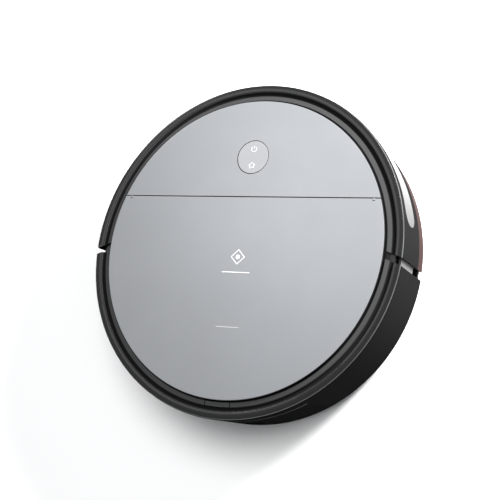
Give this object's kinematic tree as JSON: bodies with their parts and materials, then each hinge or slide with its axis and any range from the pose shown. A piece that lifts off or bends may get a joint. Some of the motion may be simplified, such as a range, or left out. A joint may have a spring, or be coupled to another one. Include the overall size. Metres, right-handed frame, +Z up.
{
  "type": "robotic floor cleaner",
  "caption": "Round robotic floor cleaner with satin panels, sprung bumper, side brushes, main roller, drive wheels, caster and a slide-out dustbin.",
  "frame": {"origin": "centre of the footprint on the floor it stands on", "axes": "+X to the robot's right, +Y the way it drives, towards the bumper, +Z up"},
  "size_m": [0.33, 0.33, 0.0781],
  "materials": {
    "satin_silver": "satin",
    "key_silver": "satin",
    "symbol_white": "matte",
    "housing_grey": "satin",
    "insert_gloss": "gloss",
    "window_rose": "gloss",
    "base_black": "textured",
    "deck_grey": "matte",
    "smoked_clear": "gloss",
    "bin_grey": "satin",
    "filter_white": "pleated paper",
    "filter_blue": "matte",
    "rubber_black": "matte",
    "hub_grey": "satin",
    "copper_orange": "satin",
    "hub_dark": "satin",
    "bristle_grey": "bristle",
    "bristle_black": "bristle",
    "roller_core": "satin",
    "steel": "brushed",
    "contact_nickel": "polished",
    "cell_wrap": "shrink film",
    "board_green": "solder mask",
    "motor_grey": "satin",
    "sensor_dark": "gloss",
    "caster_white": "satin",
    "fan_beige": "matte",
    "rocker_red": "gloss"
  },
  "bodies": {
    "chassis": {"base_chassis": "base_black", "rear_housing": "housing_grey", "top_deck": "deck_grey", "front_panel": "satin_silver", "cliff_sensors": "sensor_dark", "charging_contacts": "contact_nickel", "base_screws": "steel", "battery_cover": "base_black", "roller_guard": "deck_grey", "brush_chamber": "deck_grey", "roller_motor": "motor_grey", "right_brush_motor": "motor_grey", "left_brush_motor": "motor_grey", "right_suspension_spring": "steel", "left_suspension_spring": "steel", "pivot_pins": "steel", "caster_socket": "deck_grey", "fan_housing": "fan_beige", "fan_motor": "steel", "air_duct": "fan_beige", "battery_cells": "cell_wrap", "main_board": "board_green", "key_board": "board_green", "speaker": "hub_dark", "bumper_switches": "hub_dark", "bumper_springs": "steel", "release_spring": "steel"},
    "bumper": {"bumper_shell": "housing_grey", "bumper_insert": "insert_gloss", "bumper_window": "window_rose"},
    "lid": {"lid_panel": "satin_silver"},
    "key": {"key_cap": "key_silver", "key_symbols": "symbol_white"},
    "release": {"release_button": "housing_grey"},
    "dustbin": {"bin_tub": "bin_grey", "bin_cover": "smoked_clear", "filter_frame": "filter_blue", "bin_filter": "filter_white"},
    "flap": {"inlet_flap": "hub_grey"},
    "roller": {"roller_core": "roller_core", "roller_blades": "rubber_black", "roller_bristles": "bristle_black"},
    "right_module": {"right_drive_arm": "motor_grey"},
    "left_module": {"left_drive_arm": "motor_grey"},
    "right_wheel": {"right_tyre": "rubber_black", "right_wheel_hub": "hub_grey"},
    "left_wheel": {"left_tyre": "rubber_black", "left_wheel_hub": "hub_grey"},
    "caster": {"caster_fork": "hub_dark", "caster_axle": "steel"},
    "caster_roll": {"caster_wheel": "caster_white"},
    "right_brush": {"right_brush_hub": "copper_orange", "right_brush_arms": "rubber_black", "right_brush_tufts": "bristle_grey"},
    "left_brush": {"left_brush_hub": "hub_dark", "left_brush_arms": "rubber_black", "left_brush_tufts": "bristle_grey"},
    "fan": {"impeller": "fan_beige"},
    "rocker": {"power_rocker": "rocker_red"}
  },
  "joints": [
    {"name": "bumper_press", "type": "slide", "parent": "chassis", "child": "bumper", "axis": [0, -1, 0], "range_m": [0, 0.004], "stiffness_N_per_m": 900, "springref_m": -0.002, "deforming": ["bumper_springs"]},
    {"name": "lid_hinge", "type": "hinge", "parent": "chassis", "child": "lid", "pos_m": [0, 0.0486, 0.0768], "axis": [-1, 0, 0], "range_deg": [0, 75]},
    {"name": "key_rock", "type": "hinge", "parent": "chassis", "child": "key", "pos_m": [0, 0.0896, 0.0743], "axis": [1, 0, 0], "range_deg": [-2, 2], "stiffness_Nm_per_rad": 0.6},
    {"name": "release_press", "type": "slide", "parent": "chassis", "child": "release", "axis": [0, 0, -1], "range_m": [0, 0.002], "stiffness_N_per_m": 500, "springref_m": -0.001, "deforming": ["release_spring"]},
    {"name": "bin_slide", "type": "slide", "parent": "chassis", "child": "dustbin", "axis": [0, -1, 0], "range_m": [0, 0.105]},
    {"name": "flap_hinge", "type": "hinge", "parent": "dustbin", "child": "flap", "pos_m": [0, -0.0764, 0.0386], "axis": [-1, 0, 0], "range_deg": [0, 60]},
    {"name": "roller_spin", "type": "hinge", "parent": "chassis", "child": "roller", "pos_m": [0, -0.045, 0.0235], "axis": [1, 0, 0], "continuous": true},
    {"name": "right_suspension", "type": "hinge", "parent": "chassis", "child": "right_module", "pos_m": [0.0981, 0.034, 0.036], "axis": [1, 0, 0], "range_deg": [0, 16], "stiffness_Nm_per_rad": 0.2, "springref_deg": 57.3, "deforming": ["right_suspension_spring"]},
    {"name": "right_wheel_spin", "type": "hinge", "parent": "right_module", "child": "right_wheel", "pos_m": [0.1135, -0.012, 0.033], "axis": [1, 0, 0], "continuous": true},
    {"name": "right_brush_spin", "type": "hinge", "parent": "chassis", "child": "right_brush", "pos_m": [0.082, 0.085, 0.01], "axis": [0, 0, 1], "continuous": true},
    {"name": "left_suspension", "type": "hinge", "parent": "chassis", "child": "left_module", "pos_m": [-0.0981, 0.034, 0.036], "axis": [1, 0, 0], "range_deg": [0, 16], "stiffness_Nm_per_rad": 0.2, "springref_deg": 57.3, "deforming": ["left_suspension_spring"]},
    {"name": "left_wheel_spin", "type": "hinge", "parent": "left_module", "child": "left_wheel", "pos_m": [-0.1135, -0.012, 0.033], "axis": [1, 0, 0], "continuous": true},
    {"name": "left_brush_spin", "type": "hinge", "parent": "chassis", "child": "left_brush", "pos_m": [-0.082, 0.085, 0.01], "axis": [0, 0, 1], "continuous": true},
    {"name": "caster_swivel", "type": "hinge", "parent": "chassis", "child": "caster", "pos_m": [0, 0.118, 0.024], "axis": [0, 0, 1], "continuous": true},
    {"name": "caster_spin", "type": "hinge", "parent": "caster", "child": "caster_roll", "pos_m": [0, 0.114, 0.01], "axis": [1, 0, 0], "continuous": true},
    {"name": "fan_spin", "type": "hinge", "parent": "chassis", "child": "fan", "pos_m": [0, 0.008, 0.03], "axis": [0, 0, 1], "continuous": true},
    {"name": "rocker_tilt", "type": "hinge", "parent": "chassis", "child": "rocker", "pos_m": [0.074, 0.022, 0.0696], "axis": [1, 0, 0], "range_deg": [-12, 12]}
  ]
}
